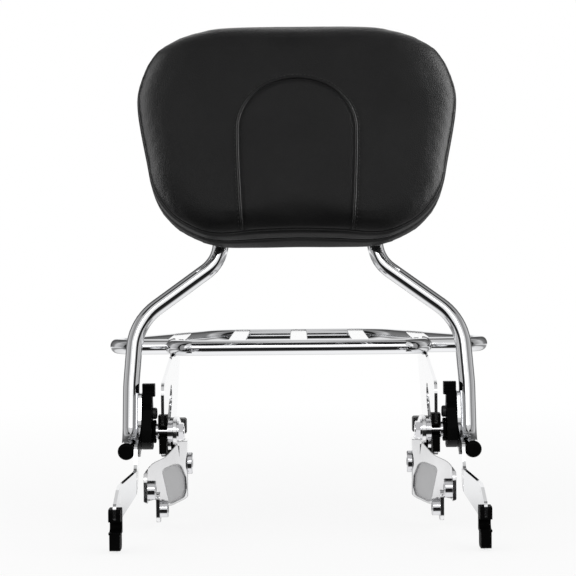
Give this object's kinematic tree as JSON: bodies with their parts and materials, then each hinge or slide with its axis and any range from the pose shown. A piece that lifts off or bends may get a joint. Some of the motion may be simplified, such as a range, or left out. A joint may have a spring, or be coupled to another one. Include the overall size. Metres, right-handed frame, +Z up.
{
  "type": "sissy bar with luggage rack",
  "caption": "Detachable motorbike backrest on a bent chrome tube, with a slatted tubular luggage rack and the chromed side brackets that both clip onto with sprung latches.",
  "frame": {"origin": "middle of the bounding box in X and Y, at its lowest point", "axes": "+X the viewer's right, -Y the way the pad faces and the motorbike's front, +Z up"},
  "size_m": [0.4052, 0.565, 0.4909],
  "materials": {
    "chrome_tube": "polished chrome plating",
    "chrome_plate": "polished chrome plating",
    "chrome_cast": "chrome plating on a casting",
    "turned_steel": "turned, bright zinc",
    "spring_steel": "plain spring wire",
    "black_nylon": "moulded, fine grain",
    "black_latch": "moulded, satin",
    "black_steel": "black powder coat",
    "vinyl": "grained black vinyl with stitched seams",
    "board": "moulded, coarse grain"
  },
  "bodies": {
    "frame": {"left_bracket_nuts": "turned_steel", "left_docking_bracket": "chrome_cast", "left_end_cap": "black_nylon", "left_front_docking_post": "turned_steel", "left_front_notch_liner": "black_nylon", "left_front_post_nut": "turned_steel", "left_latch_pivot_screw": "black_steel", "left_latch_spring": "spring_steel", "left_post_bushing": "black_nylon", "left_rack_guide": "black_steel", "left_rack_latch_screw": "black_steel", "left_rack_latch_spring": "spring_steel", "left_rack_notch_liner": "black_nylon", "left_rack_rear_liner": "black_nylon", "left_rack_side_plate": "chrome_plate", "left_rear_docking_post": "turned_steel", "left_side_plate": "chrome_plate", "lower_pad_strap": "black_steel", "pad_back_board": "board", "pad_cushion": "vinyl", "pad_screws": "turned_steel", "pad_washers": "turned_steel", "rack_front_hoop": "chrome_tube", "rack_outer_loop": "chrome_tube", "rack_slat_1": "chrome_plate", "rack_slat_2": "chrome_plate", "rack_slat_3": "chrome_plate", "rack_slat_4": "chrome_plate", "rack_slat_5": "chrome_plate", "right_bracket_nuts": "turned_steel", "right_docking_bracket": "chrome_cast", "right_end_cap": "black_nylon", "right_front_docking_post": "turned_steel", "right_front_notch_liner": "black_nylon", "right_front_post_nut": "turned_steel", "right_latch_pivot_screw": "black_steel", "right_latch_spring": "spring_steel", "right_post_bushing": "black_nylon", "right_rack_guide": "black_steel", "right_rack_latch_screw": "black_steel", "right_rack_latch_spring": "spring_steel", "right_rack_notch_liner": "black_nylon", "right_rack_rear_liner": "black_nylon", "right_rack_side_plate": "chrome_plate", "right_rear_docking_post": "turned_steel", "right_side_plate": "chrome_plate", "upper_pad_strap": "black_steel", "upright_tube": "chrome_tube"},
    "left_latch_lever_body": {"left_latch_lever": "black_latch"},
    "right_latch_lever_body": {"right_latch_lever": "black_latch"},
    "left_rack_latch_lever_body": {"left_rack_latch_lever": "black_latch"},
    "right_rack_latch_lever_body": {"right_rack_latch_lever": "black_latch"}
  },
  "joints": [
    {"name": "left_latch", "type": "hinge", "parent": "frame", "child": "left_latch_lever_body", "pos_m": [-0.1474, -0.1225, 0.111], "axis": [1, 0, 0], "range_deg": [-36, 0], "stiffness_Nm_per_rad": 0.15, "springref_deg": 20.05},
    {"name": "right_latch", "type": "hinge", "parent": "frame", "child": "right_latch_lever_body", "pos_m": [0.1474, -0.1225, 0.111], "axis": [1, 0, 0], "range_deg": [-36, 0], "stiffness_Nm_per_rad": 0.15, "springref_deg": 20.05},
    {"name": "left_rack_latch", "type": "hinge", "parent": "frame", "child": "left_rack_latch_lever_body", "pos_m": [-0.1381, -0.00651, 0.0885], "axis": [1, 0, 0], "range_deg": [0, 68], "stiffness_Nm_per_rad": 0.12, "springref_deg": -20.05},
    {"name": "right_rack_latch", "type": "hinge", "parent": "frame", "child": "right_rack_latch_lever_body", "pos_m": [0.1381, -0.00651, 0.0885], "axis": [1, 0, 0], "range_deg": [0, 68], "stiffness_Nm_per_rad": 0.12, "springref_deg": -20.05}
  ]
}
